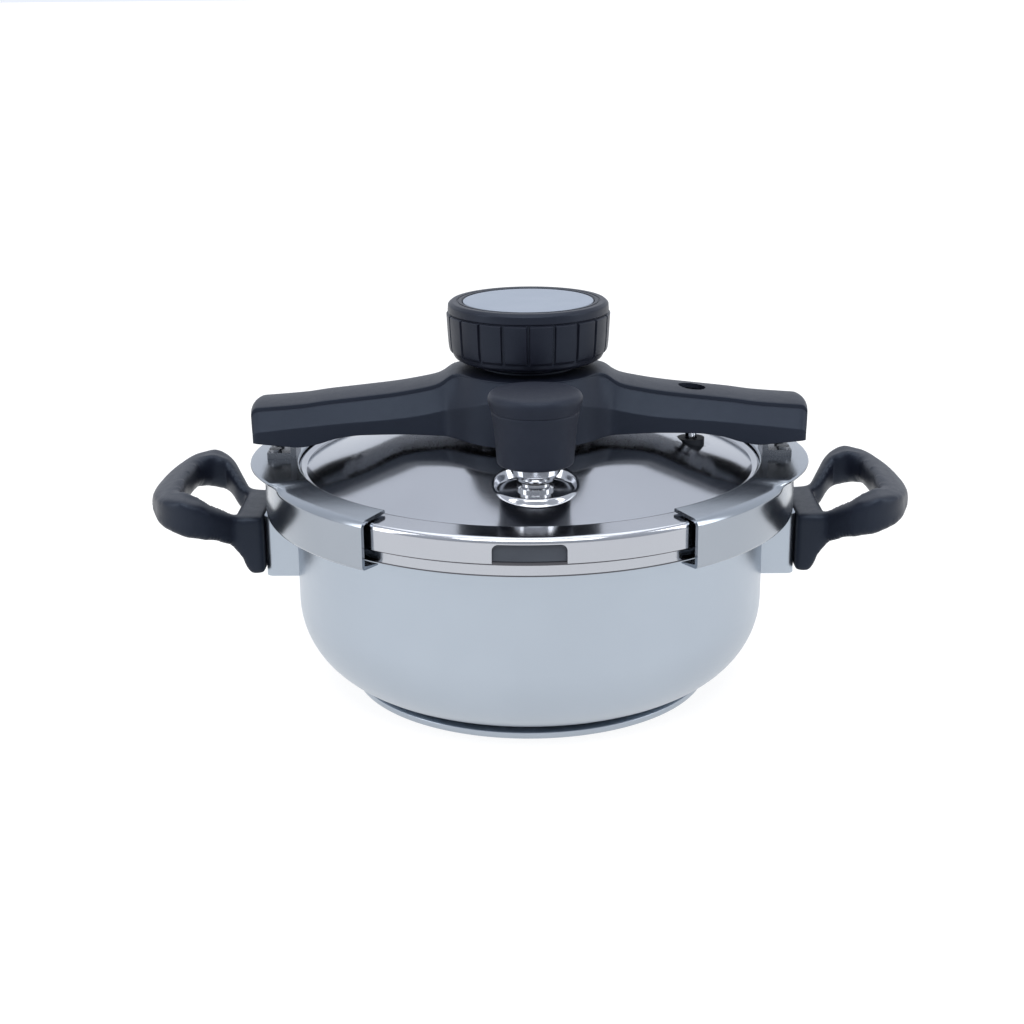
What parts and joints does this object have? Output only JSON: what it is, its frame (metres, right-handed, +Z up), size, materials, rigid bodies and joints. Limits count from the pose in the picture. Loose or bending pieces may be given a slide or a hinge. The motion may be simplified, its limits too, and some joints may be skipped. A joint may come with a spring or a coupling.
{
  "type": "stovetop pressure cooker",
  "caption": "Low stovetop pressure cooker: clamp-on domed lid with a bridge, a central knob that works sliding jaws, a pressure regulator and side loop handles",
  "frame": {"origin": "centre of the flat face that the pot stands on", "axes": "+X to the right handle, -Y to the side with the pressure regulator and the safety window, +Z up along the knob's axis"},
  "size_m": [0.39, 0.263, 0.1992],
  "materials": {
    "satin_steel": "satin stainless steel with a fine circumferential grain",
    "polished_steel": "mirror-polished stainless steel",
    "bright_steel": "turned and polished stainless steel",
    "zinc_steel": "zinc-plated steel, internal",
    "aluminium": "plain aluminium heat-spreading core",
    "black_phenolic": "moulded phenolic, dark navy black, semi-matt",
    "black_nylon": "glass-filled nylon, dark navy black, semi-matt",
    "black_cap": "moulded phenolic, dark grey black, matt",
    "grey_inlay": "pale grey satin disc",
    "silicone": "grey silicone rubber",
    "bronze": "sintered bronze"
  },
  "bodies": {
    "pot": {"pot_body": "satin_steel", "base_core": "aluminium", "base_cap": "satin_steel", "handle_bracket_left": "satin_steel", "handle_bracket_right": "satin_steel", "handle_left": "black_phenolic", "handle_right": "black_phenolic", "handle_screws": "zinc_steel", "handle_nuts": "zinc_steel"},
    "lid": {"lid_shell": "polished_steel", "lid_gasket": "silicone", "bridge_base_plate": "zinc_steel", "bridge_studs": "zinc_steel", "bridge_nuts": "zinc_steel", "bridge_cover": "black_nylon", "cover_screws": "zinc_steel", "spindle_bush_lower": "bronze", "spindle_bush_upper": "bronze", "regulator_stem": "bright_steel", "regulator_washer": "silicone", "regulator_nut": "bright_steel", "anti_clog_cover": "bright_steel", "indicator_grommet": "silicone"},
    "knob": {"knob_body": "black_nylon", "knob_disc": "grey_inlay", "knob_screw": "zinc_steel", "spindle": "zinc_steel", "spindle_clip": "zinc_steel", "cam_plate": "zinc_steel"},
    "jaw_left": {"jaw_left": "polished_steel", "slide_arm_left": "zinc_steel", "follower_pin_left": "zinc_steel", "jaw_rivets_left": "zinc_steel"},
    "jaw_right": {"jaw_right": "polished_steel", "slide_arm_right": "zinc_steel", "follower_pin_right": "zinc_steel", "jaw_rivets_right": "zinc_steel"},
    "regulator": {"regulator_weight": "bright_steel", "regulator_cap": "black_cap"},
    "indicator": {"indicator_pin": "bright_steel"}
  },
  "joints": [
    {"name": "lid_lift", "type": "slide", "parent": "pot", "child": "lid", "axis": [0, 0, 1], "range_m": [0, 0.15]},
    {"name": "knob_turn", "type": "hinge", "parent": "lid", "child": "knob", "pos_m": [0, 0, 0.1695], "axis": [0, 0, 1], "range_deg": [0, 110]},
    {"name": "jaw_left_slide", "type": "slide", "parent": "lid", "child": "jaw_left", "axis": [-1, 0, 0], "range_m": [0, 0.011]},
    {"name": "jaw_right_slide", "type": "slide", "parent": "lid", "child": "jaw_right", "axis": [1, 0, 0], "range_m": [0, 0.011]},
    {"name": "regulator_lift", "type": "slide", "parent": "lid", "child": "regulator", "axis": [0, 0, 1], "range_m": [0, 0.03]},
    {"name": "indicator_rise", "type": "slide", "parent": "lid", "child": "indicator", "axis": [0, 0, 1], "range_m": [0, 0.0065]}
  ],
  "couplings": [
    {"joint": "jaw_left_slide", "follows": "knob_turn", "m_per_rad": 0.0057296},
    {"joint": "jaw_right_slide", "follows": "knob_turn", "m_per_rad": 0.0057296}
  ]
}
